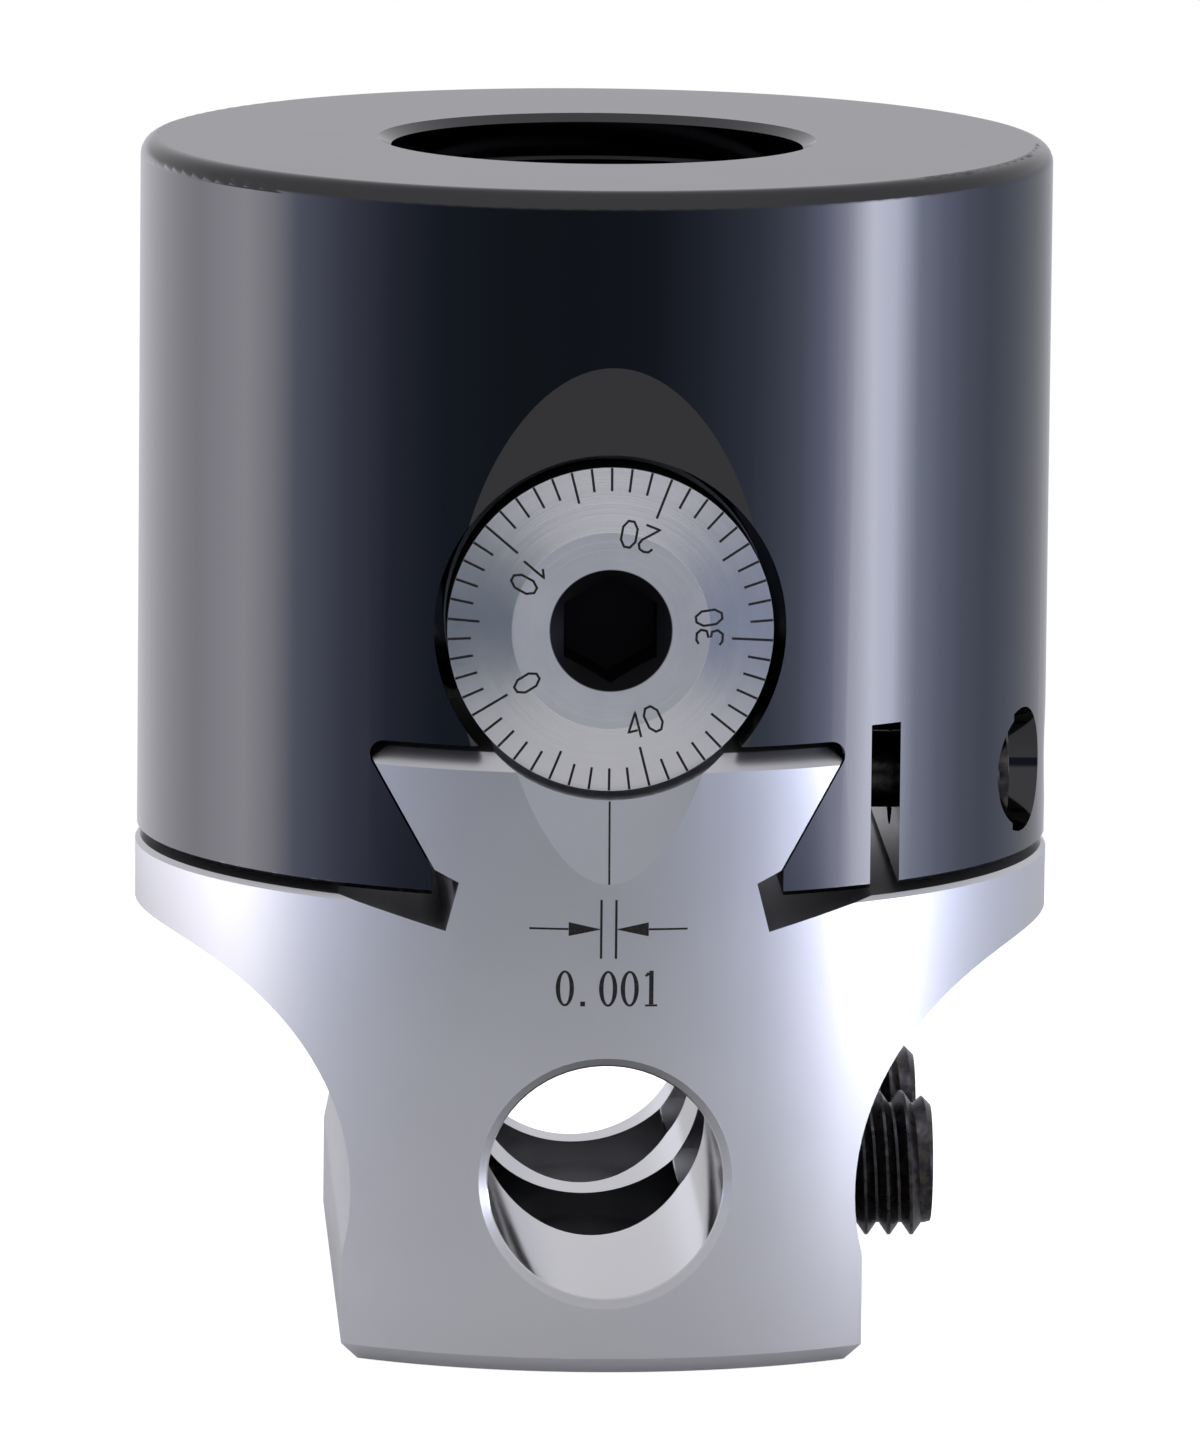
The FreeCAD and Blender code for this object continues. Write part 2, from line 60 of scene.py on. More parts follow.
class Field:
    """One socket of a material's nodes. Arithmetic on it adds Math nodes to the same material."""

    def __init__(self, tree, socket=None):
        self.tree = tree
        self.socket = socket

    def node(self, kind, settings=None, inputs=None, output=0):
        """Add a node: its settings first, then the values or links of its sockets."""
        made = self.tree.nodes.new(kind)
        for name, value in (settings or {}).items():
            if name == "stops":
                set_stops(made.color_ramp, value)
            else:
                setattr(made, name, value)
        for name, value in (inputs or {}).items():
            if isinstance(value, Field):
                self.tree.links.new(value.socket, made.inputs[name])
            else:
                made.inputs[name].default_value = value
        return Field(self.tree, made.outputs[output])

    def math(self, operation, *others):
        """Add a Math node that starts from this field."""
        return self.node("ShaderNodeMath", {"operation": operation}, dict(enumerate([self, *others])))

    def __add__(self, other):
        return self.math("ADD", other)

    def __sub__(self, other):
        return self.math("SUBTRACT", other)

    def __mul__(self, other):
        return self.math("MULTIPLY", other)

    def __truediv__(self, other):
        return self.math("DIVIDE", other)

    __radd__ = __add__
    __rmul__ = __mul__

    def __rsub__(self, other):
        return self.node("ShaderNodeMath", {"operation": "SUBTRACT"}, {0: other, 1: self})

    def __abs__(self):
        return self.math("ABSOLUTE")

    def step(self, low, high):
        """0 below low, 1 above high, and a smooth rise between them. Low may be above high."""
        return self.node(
            "ShaderNodeMapRange",
            {"interpolation_type": "SMOOTHSTEP"},
            {"Value": self, "From Min": low, "From Max": high},
        )

    def within(self, centre, reach, blur):
        """1 where the field lies within reach of centre, falling to 0 over blur."""
        return abs(self - centre).step(reach + blur, reach)

    def blend(self, plain, other):
        """The colour plain where this field is 0 and the colour other where it is 1."""
        return self.node(
            "ShaderNodeMix", {"data_type": "RGBA"}, {0: self, 6: plain, 7: other}, output=2
        )

    def distance(self, other):
        """The length of the vector from this field to another, both plain values."""
        return (self * self + other * other).math("SQRT")

    def lines(self, pitch, detail=2.0):
        """Uneven parallel lines, about pitch apart along this field, as a cutting tool leaves them."""
        return self.node(
            "ShaderNodeTexNoise",
            {"noise_dimensions": "1D"},
            {"W": self, "Scale": 1 / pitch, "Detail": detail, "Roughness": 0.6},
        )

    def cloud(self, size, detail=3.0):
        """Soft patches of about the given size over this field, a position."""
        return self.node(
            "ShaderNodeTexNoise", {}, {"Vector": self, "Scale": 1 / size, "Detail": detail}
        )


def set_stops(ramp, stops):
    """Give a colour ramp its stops, as (place, colour) in rising order."""
    while len(ramp.elements) > 1:
        ramp.elements.remove(ramp.elements[-1])
    ramp.elements[0].position, ramp.elements[0].color = stops[0]
    for place, colour in stops[1:]:
        ramp.elements.new(place).color = colour


class Finish:
    """A metal finish: a material with its surface shader, position, normal and axes at hand."""

    def __init__(self, name, **surface):
        self.material = bpy.data.materials.new(name)
        self.material.use_nodes = True
        self.tree = self.material.node_tree
        self.shader = self.tree.nodes["Principled BSDF"]
        self.position = Field(self.tree).node("ShaderNodeTexCoord", output="Object")
        self.x, self.y, self.z = self.axes_of(self.position)
        self.facing = self.axes_of(Field(self.tree).node("ShaderNodeTexCoord", output="Normal"))
        self.set(**surface)

    def axes_of(self, vector):
        """The X, Y and Z of a vector field."""
        return [
            vector.node("ShaderNodeSeparateXYZ", {}, {"Vector": vector}, output=axis) for axis in "XYZ"
        ]

    def set(self, **surface):
        """Set or link the shader's sockets, named with _ for spaces."""
        for name, value in surface.items():
            socket = self.shader.inputs[name.replace("_", " ").title().replace("Ior", "IOR")]
            if isinstance(value, Field):
                self.tree.links.new(value.socket, socket)
            else:
                socket.default_value = value

    def relief(self, *layers):
        """Stack bump layers, each a height field and its real height in metres."""
        normal = {}
        for height, depth in layers:
            bump = height.node("ShaderNodeBump", {}, {"Height": height, "Distance": depth, **normal})
            normal = {"Normal": bump}
        self.set(normal=normal["Normal"])


def dress(node, finish):
    """Give a kept CAD node its finish."""
    shown = frame["nodes"][node]
    for material_slot in shown.material_slots:
        material_slot.link = "OBJECT"
        material_slot.material = finish.material


body_low, body_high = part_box("head_body")
RIM_LEVEL = body_high.z
SLOT_LEVEL = body_low.z
MOUTH_REACH = 12.05 * MM

blackened = Finish("blackened_steel", metallic=1.0)
from_axis = blackened.x.distance(blackened.y)
top_face = blackened.facing[2].step(0.9, 0.98) * (
    blackened.z.step(RIM_LEVEL - 0.6 * MM, RIM_LEVEL - 0.3 * MM)
)
rings = from_axis.lines(0.11 * MM)
passes = blackened.z.lines(0.16 * MM)
patina = blackened.position.cloud(6 * MM)
rub = blackened.position.cloud(0.7 * MM, 6.0).step(0.52, 0.7)
foot_edge = blackened.z.within(SLOT_LEVEL, 0.12 * MM, 0.25 * MM)
mouth_edge = from_axis.within(MOUTH_REACH, 0.05 * MM, 0.2 * MM) * top_face
worn = (foot_edge + mouth_edge) * rub * 0.5
blackened.set(
    base_color=worn.blend((0.062, 0.062, 0.064, 1), (0.30, 0.29, 0.29, 1)),
    roughness=0.05 + 0.04 * patina + 0.06 * top_face + 0.1 * worn,
)
blackened.relief(
    (rings * top_face, 0.9e-6),
    (passes * (1 - top_face), 0.25e-6),
)
dress("head_body", blackened)

# ---- Arbor thread -------------------------------------------------------------------------------
# The 7/8-20 thread cut into the body for the spindle arbor, blackened with it. Its helical ridge
# is a closed strip that stands on the wall of the threaded bore and runs out at both ends.

ARBOR_PITCH = 25.4 / 20 * MM
ARBOR_WALL = 10.498 * MM
ARBOR_CREST = 9.93 * MM
ARBOR_TOP = -2.75 * MM
ARBOR_TURNS = 7
ARBOR_STEPS = 72
RUN_OUT_STEPS = 24
RIDGE_SUNK = 0.02 * MM
# half widths of the ridge, as shares of the pitch
RIDGE_FOOT = 0.46
RIDGE_CREST = 0.09


def object_from(name, verts, faces, finish, smooth=30):
    """Make a mesh object, its normals outward, its finish and the angle below which it is smooth."""
    mesh = bpy.data.meshes.new(name)
    mesh.from_pydata(verts, [], faces)
    bm = bmesh.new()
    bm.from_mesh(mesh)
    bmesh.ops.remove_doubles(bm, verts=bm.verts, dist=1e-7)
    bmesh.ops.dissolve_degenerate(bm, edges=bm.edges, dist=1e-7)
    bmesh.ops.recalc_face_normals(bm, faces=bm.faces)
    for edge in bm.edges:
        edge.smooth = len(edge.link_faces) == 2 and edge.calc_face_angle(4) < math.radians(smooth)
    for face in bm.faces:
        face.smooth = True
    bm.to_mesh(mesh)
    bm.free()
    mesh.materials.append(finish.material)
    made = bpy.data.objects.new(name, mesh)
    bpy.context.collection.objects.link(made)
    return made


def loft(rings, closed_ends=True):
    """Faces between rings of the same count, with a face on each end ring."""
    count = len(rings[0])
    verts = [vert for ring in rings for vert in ring]
    faces = [
        (row + k, row + (k + 1) % count, row + count + (k + 1) % count, row + count + k)
        for row in range(0, (len(rings) - 1) * count, count)
        for k in range(count)
    ]
    if closed_ends:
        faces.append(tuple(range(count)))
        faces.append(tuple(range(len(verts) - count, len(verts))))
    return verts, faces


ridge_rings = []
ridge_end = ARBOR_TURNS * ARBOR_STEPS
for n in range(ridge_end + 1):
    angle = 2 * math.pi * n / ARBOR_STEPS
    level = ARBOR_TOP - ARBOR_PITCH * n / ARBOR_STEPS
    height = min(1, n / RUN_OUT_STEPS, (ridge_end - n) / RUN_OUT_STEPS)
    lowest = ARBOR_WALL - RIDGE_SUNK
    crest = lowest - (lowest - ARBOR_CREST) * height
    outline = (
        (ARBOR_WALL, -RIDGE_FOOT), (crest, -RIDGE_CREST), (crest, RIDGE_CREST), (ARBOR_WALL, RIDGE_FOOT)
    )
    ridge_rings.append([
        (radius * math.cos(angle), -radius * math.sin(angle), level + share * ARBOR_PITCH)
        for radius, share in outline
    ])
threaded = Finish("threaded_black_steel", metallic=1.0, base_color=(0.06, 0.063, 0.075, 1))
threaded.set(roughness=0.16 + 0.12 * threaded.position.cloud(0.6 * MM))
threaded.relief((threaded.x.distance(threaded.y).lines(0.05 * MM), 0.8e-6))
arbor_thread = object_from("arbor_thread", *loft(ridge_rings), threaded)
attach(arbor_thread, "head")

# ---- Tool slide ---------------------------------------------------------------------------------
# The lower half, milled from steel with its dovetail, then finish-turned round and bored for three
# bars. It is left bright: fine turning lines outside, honed bores, and a coarser cut on their chamfers.

slide_low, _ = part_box("tool_slide")
mounts = {mount["name"]: mount for mount in frame["record"]["mounts"]}
BAR_RADIUS = mounts["cross_bore"]["dims"]["r_mm"] * MM
CROSS_LEVEL = mounts["cross_bore"]["pos_m"][2]
UPRIGHT_PLACES = [mounts[name]["pos_m"][1] for name in ("centre_bore", "offset_bore")]
SLIDE_RADIUS = -slide_low.y

bright = Finish("bright_steel", metallic=1.0)
cross_reach = bright.x.distance(bright.z - CROSS_LEVEL)
honed = cross_reach.within(BAR_RADIUS, 0.04 * MM, 0.05 * MM)
for place in UPRIGHT_PLACES:
    upright_reach = bright.x.distance(bright.y - place)
    honed = honed.math("MAXIMUM", upright_reach.within(BAR_RADIUS, 0.04 * MM, 0.05 * MM))
mouth_cut = cross_reach.within(BAR_RADIUS + 0.3 * MM, 0.22 * MM, 0.04 * MM) * (
    abs(bright.y).step(SLIDE_RADIUS - 3 * MM, SLIDE_RADIUS - 2.6 * MM)
)
from_spindle = bright.x.distance(bright.y)
turned = from_spindle.step(SLIDE_RADIUS - 0.08 * MM, SLIDE_RADIUS - 0.03 * MM) * (1 - honed)
foot_face = (0 - bright.facing[2]).step(0.9, 0.98) * (1 - honed)
haze = bright.position.cloud(9 * MM)
grain = bright.position.cloud(0.25 * MM, 5.0)
bright.set(
    base_color=haze.blend((0.64, 0.64, 0.66, 1), (0.71, 0.71, 0.73, 1)),
    roughness=0.30 + 0.05 * haze + 0.05 * grain - 0.24 * honed + 0.05 * mouth_cut - 0.04 * foot_face,
)
bright.relief(
    (bright.z.lines(0.13 * MM) * turned, 0.9e-6),
    (from_spindle.lines(0.16 * MM) * foot_face, 1.2e-6),
    (bright.y.lines(0.35 * MM) * honed, 0.7e-6),
    (cross_reach.lines(0.07 * MM) * mouth_cut, 3e-6),
)
dress("tool_slide", bright)

# ---- Marks on the slide -------------------------------------------------------------------------
# The index line under the dial, the two arrows that stand for one division and the size of that
# division: engraved with a fine cutter and filled with dark lacquer, flush with the steel.

MARK_PROUD = 0.004 * MM
MARK_DEEP = 0.035 * MM
INDEX_TOP = -32.85 * MM
INDEX_FOOT = -37.3 * MM
DIVISION_LEVEL = -39.72 * MM
NUMERAL_LEVEL = -42.95 * MM
NUMERAL_HEIGHT = 1.95 * MM
SCREW_LEVEL = -23.7 * MM
SCOOP_FRONT = -24.6 * MM
SCOOP_START = 9.1 * MM
SCOOP_SLOPE = 0.5 / 4.5

lacquer = Finish("engraving_lacquer", specular_ior_level=0.3)
speck = lacquer.position.cloud(0.12 * MM, 4.0)
lacquer.set(
    base_color=speck.step(0.5, 0.85).blend((0.010, 0.008, 0.008, 1), (0.075, 0.055, 0.045, 1)),
    roughness=0.35 + 0.3 * speck,
)
lacquer.relief((speck, 6e-6))


def stroke_sides(points, closed):
    """Left and right edges of a stroke, from points (u, v, half width), mitred at its corners."""
    count = len(points)
    edges = []
    for k, (u, v, half) in enumerate(points):
        before = points[(k - 1) % count] if closed or k else points[0]
        after = points[(k + 1) % count] if closed or k < count - 1 else points[-1]
        arriving = Vector((u - before[0], v - before[1]))
        leaving = Vector((after[0] - u, after[1] - v))
        arriving = (arriving if arriving.length else leaving).normalized()
        leaving = (leaving if leaving.length else arriving).normalized()
        along = (arriving + leaving).normalized()
        out = Vector((-along.y, along.x)) * half / max(0.6, along.dot(leaving))
        edges.append(((u + out.x, v + out.y), (u - out.x, v - out.y)))
    return edges


def spread(points, closed, spacing):
    """Add points between a stroke's own ones, so that it can follow a curved face."""
    following = points[1:] + points[:1] if closed else points[1:]
    finer = []
    for start, end in zip(points, following):
        pieces = max(1, math.ceil(math.dist(start[:2], end[:2]) / spacing))
        finer += [tuple(a + (b - a) * k / pieces for a, b in zip(start, end)) for k in range(pieces)]
    return finer if closed else finer + [points[-1]]


def engrave(name, strokes, place, body, spacing=0.3 * MM):
    """Inlay strokes, each (points, closed), on a face: place gives a point's spot and its normal."""
    verts, faces = [], []
    for points, closed in strokes:
        start = len(verts)
        edges = stroke_sides(spread(points, closed, spacing), closed)
        for left, right in edges:
            (left_spot, left_out), (right_spot, right_out) = place(*left), place(*right)
            verts += [
                left_spot + left_out * MARK_PROUD, right_spot + right_out * MARK_PROUD,
                right_spot - right_out * MARK_DEEP, left_spot - left_out * MARK_DEEP,
            ]
        count = len(edges)
        for k in range(count if closed else count - 1):
            here, there = start + 4 * k, start + 4 * ((k + 1) % count)
            faces += [(here + s, here + (s + 1) % 4, there + (s + 1) % 4, there + s) for s in range(4)]
        if not closed:
            faces += [tuple(range(start, start + 4)), tuple(range(len(verts) - 4, len(verts)))]
    marks = object_from(name, verts, faces, lacquer)
    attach(marks, body)
    return marks


def on_round_face(u, v):
    """A spot on the slide's round front, u across and v up, and the way out of it."""
    back = -math.sqrt(SLIDE_RADIUS**2 - u**2)
    return Vector((u, back, v)), Vector((u, back, 0)) / SLIDE_RADIUS


def on_scoop(u, v):
    """A spot on the cone milled into the slide under the dial, and the way out of it."""
    reach = math.hypot(u, v - SCREW_LEVEL)
    spot = Vector((u, SCOOP_FRONT - SCOOP_SLOPE * (reach - SCOOP_START), v))
    out = Vector((-SCOOP_SLOPE * u / reach, -1, -SCOOP_SLOPE * (v - SCREW_LEVEL) / reach))
    return spot, out.normalized()


def straight(u0, v0, u1, v1, half0, half1=None):
    """A straight stroke with a half width at each end."""
    return [(u0, v0, half0), (u1, v1, half0 if half1 is None else half1)], False


engrave(
    "index_line", [straight(0, INDEX_TOP, 0, INDEX_FOOT, 0.055 * MM)], on_scoop, "slide"
)

division = []
for side in (-1, 1):
    bar, tip, base, end = (side * MM * reach for reach in (0.40, 0.47, 2.15, 4.25))
    division += [
        straight(bar, DIVISION_LEVEL - 1.6 * MM, bar, DIVISION_LEVEL + 1.6 * MM, 0.065 * MM),
        straight(tip, DIVISION_LEVEL, base, DIVISION_LEVEL, 0.02 * MM, 0.38 * MM),
        straight(base + side * 0.01 * MM, DIVISION_LEVEL, end, DIVISION_LEVEL, 0.055 * MM),
    ]
engrave("division_arrows", division, on_round_face, "slide")


def upright_oval(centre, width, height, thick, thin):
    """A narrow 0 whose sides are thicker than its top and foot."""
    points = []
    for k in range(40):
        angle = 2 * math.pi * k / 40
        points.append((
            centre + (width / 2 - thick) * math.cos(angle),
            NUMERAL_LEVEL + (height / 2 - thin) * math.sin(angle),
            thin + (thick - thin) * math.cos(angle) ** 2,
        ))
    return points, True


DIGIT_STEP = 1.16 * MM
numerals = []
for number, digit in enumerate("0.001"):
    centre = (number - 2) * DIGIT_STEP
    top, foot = NUMERAL_LEVEL + NUMERAL_HEIGHT / 2, NUMERAL_LEVEL - NUMERAL_HEIGHT / 2
    if digit == "0":
        numerals.append(upright_oval(centre, 0.98 * MM, NUMERAL_HEIGHT, 0.12 * MM, 0.06 * MM))
    elif digit == "1":
        numerals += [
            straight(centre, top, centre, foot + 0.12 * MM, 0.12 * MM),
            straight(centre - 0.33 * MM, foot + 0.06 * MM, centre + 0.33 * MM, foot + 0.06 * MM, 0.055 * MM),
            straight(
                centre - 0.32 * MM, top - 0.3 * MM, centre - 0.125 * MM, top - 0.14 * MM, 0.05 * MM, 0.1 * MM
            ),
        ]
    else:
        point, level = centre - 0.2 * MM, foot + 0.14 * MM
        numerals.append(straight(point - 0.13 * MM, level, point + 0.13 * MM, level, 0.13 * MM))
engrave("division_size", numerals, on_round_face, "slide")

# ---- Dial ---------------------------------------------------------------------------------------
# The head of the lead screw: turned in one piece with it, faced flat round its hex socket and
# coned outside, satin-chromed. Fifty engraved divisions, every tenth numbered, run round the cone.

dial_low, dial_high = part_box("dial_screw")
DIAL_FRONT = dial_low.y
HUB_REACH = 5.3 * MM
RIM_REACH = dial_high.x
CONE_SLOPE = 0.5 / 3.45
ZERO_TURN = 57.6
MARK_TURN = 7.2
DIGIT_TURN = 11.5
DIGIT_REACH = 5.3 * MM
DIGIT_HEIGHT = 1.4 * MM
MARK_HALF = 0.068 * MM
DIGIT_HALF = 0.065 * MM

satin = Finish("satin_chrome", metallic=1.0)
reach = satin.x.distance(satin.z - SCREW_LEVEL)
front = satin.y.step(DIAL_FRONT + 0.9 * MM, DIAL_FRONT + 0.6 * MM)
# Within 3.25 mm of the screw's axis, in the hex socket, the base colour is painted near-black: painted shade
# in the recess, not the chrome's own colour.
socket_painted_shade = reach.step(3.35 * MM, 3.25 * MM)
hub = reach.step(HUB_REACH + 0.05 * MM, HUB_REACH - 0.05 * MM)
fine = reach.lines(0.06 * MM, 4.0)
broad = reach.lines(0.5 * MM, 2.0)
smear = satin.position.cloud(2.5 * MM)
# The near-black colour blended in over the socket is painted shade.
satin.set(
    base_color=socket_painted_shade.blend(
        smear.blend((0.72, 0.72, 0.735, 1), (0.80, 0.80, 0.805, 1)), (0.012, 0.012, 0.014, 1)
    ),
    roughness=0.21 + 0.06 * smear + 0.16 * hub + 0.1 * socket_painted_shade,
)
faced = front * (1 - socket_painted_shade) * (0.4 + 0.6 * hub)
satin.relief((fine * faced, 7e-6), (broad * faced, 8e-6))
dress("dial_screw", satin)


def on_dial(u, v):
    """A spot on the dial's face, u across and v up from its middle, and the way out of it."""
    from_middle = math.hypot(u, v)
    cone = max(0, from_middle - HUB_REACH)
    slope = CONE_SLOPE if cone else 0
    spot = Vector((u, DIAL_FRONT + CONE_SLOPE * cone, SCREW_LEVEL + v))
    return spot, Vector((slope * u / from_middle, -1, slope * v / from_middle)).normalized()


DIGIT_WIDTH = 0.56
# strokes of each digit in a box DIGIT_WIDTH wide and 1 high, and whether they close
DIGIT_SHAPES = {
    "0": [(
        [(0, 0.25), (0, 0.75), (0.17, 1), (0.39, 1), (0.56, 0.75), (0.56, 0.25), (0.39, 0), (0.17, 0)],
        True,
    )],
    "1": [([(0.12, 0.74), (0.36, 1), (0.36, 0)], False)],
    "2": [(
        [(0, 0.78), (0.1, 0.95), (0.28, 1), (0.46, 0.95), (0.56, 0.78), (0.5, 0.58), (0, 0), (0.56, 0)],
        False,
    )],
    "3": [
        ([(0, 0.9), (0.15, 1), (0.4, 1), (0.55, 0.85), (0.52, 0.63), (0.26, 0.54)], False),
        ([(0.28, 0.46), (0.5, 0.42), (0.57, 0.2), (0.42, 0), (0.15, 0), (0, 0.1)], False),
    ],
    "4": [([(0.42, 0), (0.42, 1), (0, 0.3), (0.36, 0.3)], False)],
}


def dial_spot(turn, from_middle, across=0):
    """Where a mark lies on the dial, turn degrees clockwise from its foot."""
    angle = math.radians(turn)
    return (
        -from_middle * math.sin(angle) + across * math.cos(angle),
        -from_middle * math.cos(angle) - across * math.sin(angle),
    )


TEN_LENGTH = 2.24 * MM
FIVE_LENGTH = 1.7 * MM
ONE_LENGTH = 1.25 * MM

divisions, numbers = [], []
for mark in range(50):
    turn = ZERO_TURN + MARK_TURN * mark
    length = TEN_LENGTH if mark % 10 == 0 else FIVE_LENGTH if mark % 5 == 0 else ONE_LENGTH
    outer, inner = dial_spot(turn, RIM_REACH - 0.02 * MM), dial_spot(turn, RIM_REACH - length)
    divisions.append(straight(*outer, *inner, MARK_HALF))
    if mark % 10:
        continue
    for place, digit in enumerate(str(mark)):
        digit_turn = turn - place * DIGIT_TURN
        for points, closed in DIGIT_SHAPES[digit]:
            placed = []
            for u, v in points:
                inward, across = (v - 0.5) * DIGIT_HEIGHT, (u - DIGIT_WIDTH / 2) * DIGIT_HEIGHT
                placed.append((*dial_spot(digit_turn, DIGIT_REACH - inward, across), DIGIT_HALF))
            numbers.append((placed, closed))
engrave("dial_divisions", divisions, on_dial, "dial", 0.2 * MM)
engrave("dial_numbers", numbers, on_dial, "dial", 0.12 * MM)

# ---- Gib and lock screws ------------------------------------------------------------------------
# Three M6 dog-point set screws in the body's side. The outer two set the gib leaf against the
# slide and the middle one locks it. Rolled or cut threads, black oxide, hex sockets.

SCREW_STEPS = 48
# where crest and root start and end along one pitch: the first two rows are crest, the others root
THREAD_ROWS = (0.0, 0.125, 0.5, 0.625)
# how deep the thread and its bevelled ends go, in pitches
ROOT_DEPTH = 0.5413
BEVEL = 0.6134

oxide = Finish("black_oxide", metallic=1.0)
mottle = oxide.position.cloud(0.5 * MM, 4.0)
oxide.set(
    base_color=mottle.step(0.35, 0.75).blend((0.035, 0.035, 0.04, 1), (0.10, 0.085, 0.075, 1)),
    roughness=0.2 + 0.18 * mottle,
)
oxide.relief((oxide.position.cloud(0.08 * MM), 1.2e-6))


def hexagon(across_flats, angle):
    """How far a hexagon's edge is from its middle in one direction."""
    return across_flats / 2 / math.cos((angle + math.pi / 6) % (math.pi / 3) - math.pi / 6)


def set_screw(name, node, body, crest, pitch, across_flats, socket_depth, dog=None):
    """Turn one set screw along +X in the place of its CAD node, its socket outward."""
    low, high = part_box(node)
    dog_radius, dog_length = dog or (0.55 * crest, 0)
    middle_y, middle_z = (low.y + high.y) / 2, (low.z + high.z) / 2
    start, end = low.x + dog_length, high.x
    root = crest - ROOT_DEPTH * pitch
    bevel = BEVEL * pitch

    def ring(x, radius):
        """A ring of points, its radius a number or a function of the angle."""
        made = []
        for k in range(SCREW_STEPS):
            angle = 2 * math.pi * k / SCREW_STEPS
            reach = radius(angle) if callable(radius) else radius
            made.append((x, middle_y + reach * math.cos(angle), middle_z + reach * math.sin(angle)))
        return made

    def thread_ring(row):
        """One row of the thread: crest flat, flank, root flat, flank, climbing a pitch a turn."""
        made = []
        turns, part = divmod(row, len(THREAD_ROWS))
        for k in range(SCREW_STEPS):
            angle = 2 * math.pi * k / SCREW_STEPS
            x = start + pitch * (turns + THREAD_ROWS[part] + k / SCREW_STEPS - 1)
            x = min(max(x, start), end)
            limit = crest - bevel + min(x - start, end - x, bevel)
            reach = min(crest if part < 2 else root, limit)
            made.append((x, middle_y + reach * math.cos(angle), middle_z + reach * math.sin(angle)))
        return made

    wall = crest - bevel
    if dog:
        nose = [
            ring(low.x, 0.3 * dog_radius), ring(low.x, dog_radius - 0.25 * MM),
            ring(low.x + 0.25 * MM, dog_radius), ring(start - 0.15 * MM, dog_radius),
            ring(start, dog_radius + 0.1 * MM),
        ]
    else:
        nose = [ring(start + 0.7 * MM, 0.12 * crest), ring(start, dog_radius)]
    rows = (math.ceil((end - start) / pitch) + 2) * len(THREAD_ROWS)
    thread = [thread_ring(row) for row in range(rows)]
    bottom = end - socket_depth
    socket = [
        ring(end, wall - 0.02 * MM), ring(end, 0.62 * across_flats),
        ring(end - 0.12 * across_flats, lambda angle: hexagon(across_flats, angle)),
        ring(bottom, lambda angle: hexagon(across_flats, angle)),
        ring(bottom - 0.02 * MM, 0.47 * across_flats),
        ring(bottom - 0.22 * across_flats, 0.04 * across_flats),
    ]
    count = SCREW_STEPS
    all_rings = nose + thread + socket
    verts = [vert for made in all_rings for vert in made]
    first_thread, last_thread = len(nose), len(nose) + len(thread) - 1
    lift = len(THREAD_ROWS)
    faces = []
    for row in range(len(all_rings) - 1):
        for k in range(count):
            here, there = row * count + k, (row + 1) * count + k
            if k < count - 1:
                near, far = here + 1, there + 1
            elif first_thread <= row < last_thread:
                # a thread row that has gone once round goes on in the row one turn later
                near = min(row + lift, last_thread) * count
                far = min(row + 1 + lift, last_thread) * count
            else:
                near, far = row * count, (row + 1) * count
            faces.append((here, near, far, there))
    faces += [tuple(range(count)), tuple(range(len(verts) - count, len(verts)))]
    screw = object_from(name, verts, faces, oxide, 35)
    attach(screw, body)
    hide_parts(node)


for name, node, body in (
    ("gib_screw_front_threaded", "gib_screw_front", "front_gib_screw"),
    ("slide_lock_screw_threaded", "slide_lock_screw", "lock_screw"),
    ("gib_screw_rear_threaded", "gib_screw_rear", "rear_gib_screw"),
):
    set_screw(name, node, body, 3.0 * MM, 1.0 * MM, 3.0 * MM, 2.6 * MM, (2.1 * MM, 2.5 * MM))

# ---- Clamp screws -------------------------------------------------------------------------------
# Two M8 cup-point set screws in the slide's flat side. Each presses on the bar in one upright
# bore, and the offset one also holds a bar in the cross bore.

for name, node, body in (
    ("clamp_screw_centre_threaded", "clamp_screw_centre", "centre_clamp"),
    ("clamp_screw_offset_threaded", "clamp_screw_offset", "offset_clamp"),
):
    set_screw(name, node, body, 4.0 * MM, 1.25 * MM, 4.0 * MM, 4.0 * MM)

# ---- Studio -------------------------------------------------------------------------------------
# A small pale disc to stand on, in a light tent: dark behind the camera, a panel to its left and a
# tall strip light to its right. The camera looks slightly down on the dial side.

GROUND = slide_low.z - 0.03 * MM
DISC_REACH = 150 * MM
STUDIO_LIGHT = 10.0
# angle from the camera's side of the object, positive to its right, with the light from there
LIGHT_ROUND_IT = [
    (-180, 0.57, 0.57, 0.62), (-160, 1.0, 1.0, 1.08), (-137, 1.55, 1.53, 1.68), (-122, 1.9, 1.86, 2.04),
    (-111, 2.7, 2.66, 2.94), (-101, 3.35, 3.29, 3.57), (-92, 2.65, 2.6, 2.88), (-83, 1.11, 1.23, 1.6),
    (-68, 0.55, 0.59, 0.87), (-54, 0.25, 0.29, 0.43), (-41, 0.12, 0.15, 0.23), (-22, 0.09, 0.12, 0.16),
    (-5, 0.08, 0.10, 0.14), (13, 0.11, 0.13, 0.20), (25, 0.21, 0.25, 0.37), (38, 0.40, 0.46, 0.65),
    (44, 0.57, 0.66, 0.92), (51, 0.89, 1.0, 1.39), (57, 1.5, 1.6, 2.3), (64, 3.2, 3.3, 4.2),
    (71.5, 7.8, 8.0, 9.3), (79, 6.5, 6.8, 8.2), (87, 2.3, 2.55, 3.3), (96, 1.4, 1.5, 2.1),
    (105, 0.88, 0.98, 1.33), (116, 0.54, 0.62, 0.85), (146, 0.53, 0.54, 0.59), (180, 0.57, 0.57, 0.62),
]

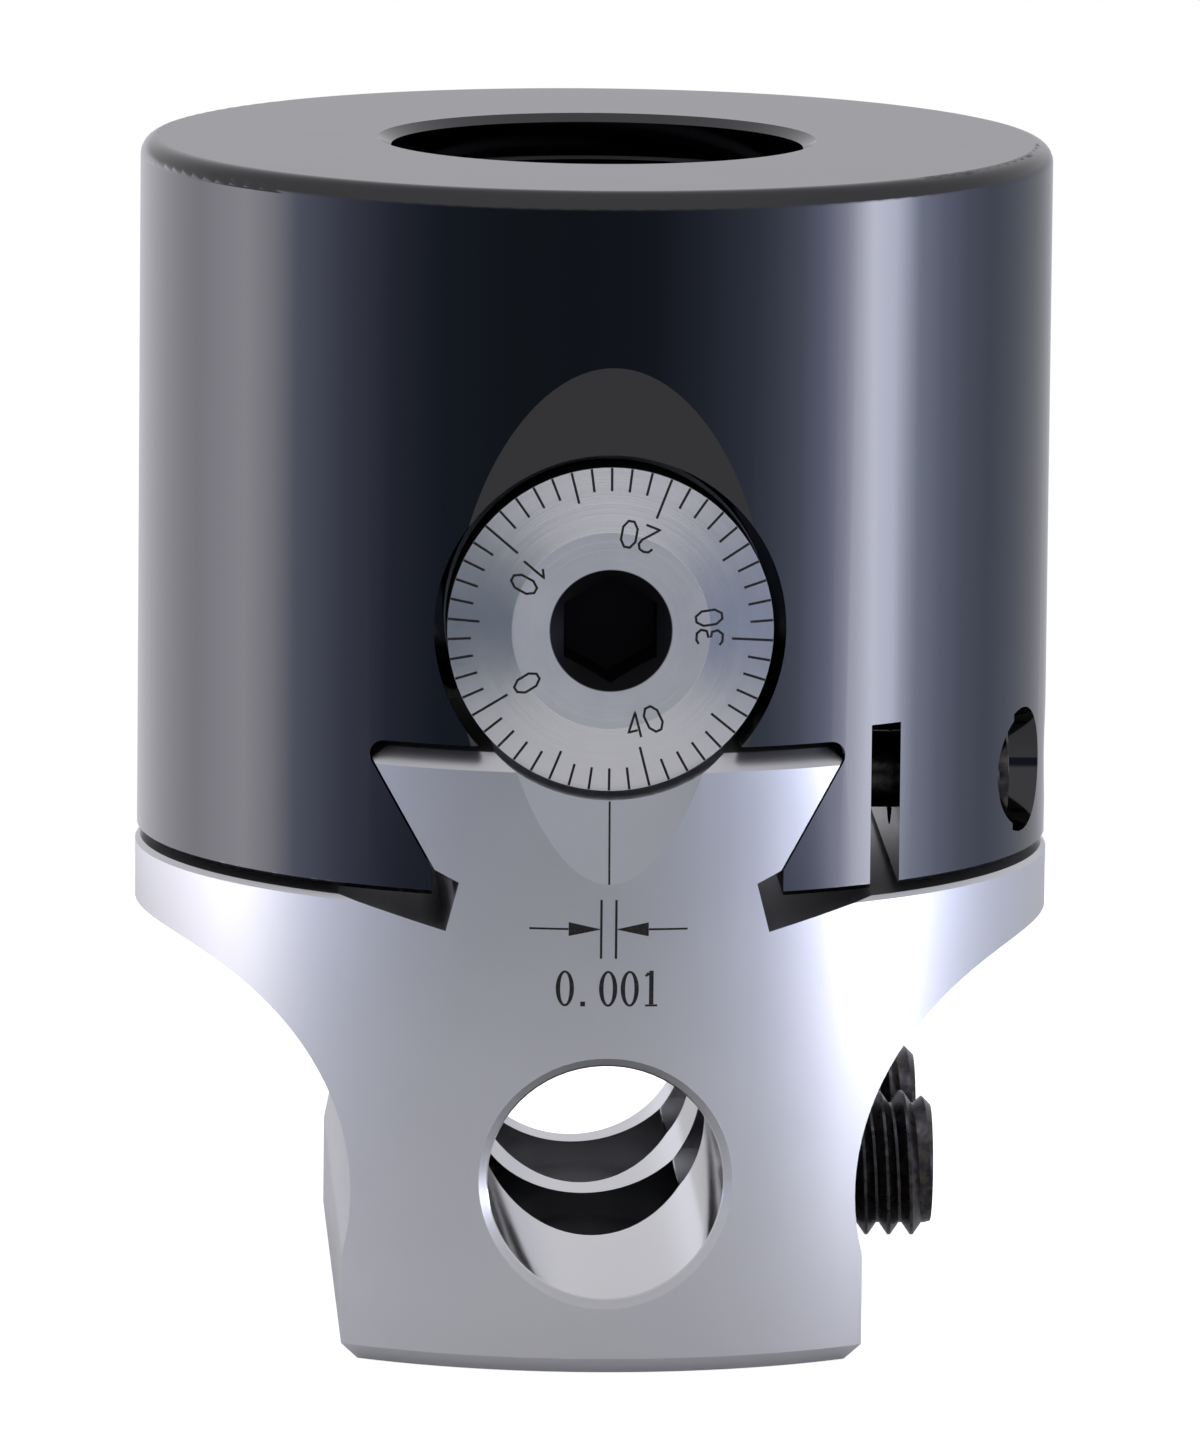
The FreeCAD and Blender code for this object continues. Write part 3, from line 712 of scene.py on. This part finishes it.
world = bpy.data.worlds.new("light_tent")
bpy.context.scene.world = world
world.use_nodes = True
world.node_tree.nodes.remove(world.node_tree.nodes["Background"])
tent = Field(world.node_tree)
toward = tent.node("ShaderNodeTexCoord", output="Generated")
east, north, up = [
    toward.node("ShaderNodeSeparateXYZ", {}, {"Vector": toward}, output=axis) for axis in "XYZ"
]
bearing = east.math("ARCTAN2", 0 - north) / (2 * math.pi) + 0.5
around = bearing.node(
    "ShaderNodeValToRGB",
    {"stops": [
        ((angle + 180) / 360, (red / STUDIO_LIGHT, green / STUDIO_LIGHT, blue / STUDIO_LIGHT, 1))
        for angle, red, green, blue in LIGHT_ROUND_IT
    ]},
    {"Fac": bearing},
)
ceiling = up.step(0.0, 0.15)
ground_glow = up.step(-0.30, -0.60)
softened = ceiling.blend(around, (0.066, 0.066, 0.069, 1))
softened = ground_glow.blend(softened, (0.08, 0.08, 0.082, 1))
lit = tent.node("ShaderNodeBackground", {}, {"Color": softened, "Strength": STUDIO_LIGHT})
plain = tent.node("ShaderNodeBackground", {}, {"Color": (1, 1, 1, 1), "Strength": 1.0})
seen = tent.node("ShaderNodeLightPath", output="Is Camera Ray")
shown = tent.node("ShaderNodeMixShader", {}, {0: seen, 1: lit, 2: plain})
world.node_tree.links.new(shown.socket, world.node_tree.nodes["World Output"].inputs["Surface"])

DISC_STEPS = 96
disc_turns = [2 * math.pi * k / DISC_STEPS for k in range(DISC_STEPS)]
disc_rings = [
    [(reach * math.cos(turn), reach * math.sin(turn), GROUND) for turn in disc_turns]
    for reach in (DISC_REACH, 0.4 * DISC_REACH, 0.1 * DISC_REACH)
]
disc_verts, disc_faces = loft(disc_rings, closed_ends=False)
disc_faces.append(tuple(range(len(disc_verts) - DISC_STEPS, len(disc_verts))))
pale = Finish("pale_ground", base_color=(0.85, 0.85, 0.85, 1), roughness=0.9, specular_ior_level=0.0)
in_view = Field(pale.tree).node("ShaderNodeLightPath", output="Is Camera Ray")
ground_shader = Field(pale.tree, pale.shader.outputs[0])
glow = ground_shader.node("ShaderNodeEmission", {}, {"Color": (1, 1, 1, 1), "Strength": 0.78})
shade = ground_shader.node("ShaderNodeAddShader", {}, {0: ground_shader, 1: glow})
ground_seen = ground_shader.node("ShaderNodeMixShader", {}, {0: in_view, 1: ground_shader, 2: shade})
# from below the disc is clear, so that the foot can be seen
under = ground_shader.node("ShaderNodeNewGeometry", output="Backfacing")
clear = ground_shader.node("ShaderNodeBsdfTransparent")
ground_seen = ground_shader.node("ShaderNodeMixShader", {}, {0: under, 1: ground_seen, 2: clear})
pale.tree.links.new(ground_seen.socket, pale.tree.nodes["Material Output"].inputs["Surface"])
ground = object_from("ground_disc", disc_verts, disc_faces, pale)
if ground.data.polygons[0].normal.z < 0:
    ground.data.flip_normals()

HEADING = math.radians(2.42)
TILT_DOWN = 0.1539
ROLL = 0.0101
eye = bpy.data.cameras.new("eye")
eye.sensor_width = 36.0
eye.lens = 391.0
eye.clip_start, eye.clip_end = 0.05, 10.0
camera = bpy.data.objects.new("camera", eye)
camera.location = (-0.03529, -0.84625, 0.09935)
aim = Euler((math.pi / 2 - TILT_DOWN, 0, -HEADING)).to_matrix() @ Matrix.Rotation(ROLL, 3, "Z")
camera.rotation_mode = "QUATERNION"
camera.rotation_quaternion = aim.to_quaternion()
bpy.context.collection.objects.link(camera)
bpy.context.scene.camera = camera
bpy.context.scene.view_settings.view_transform = "Standard"
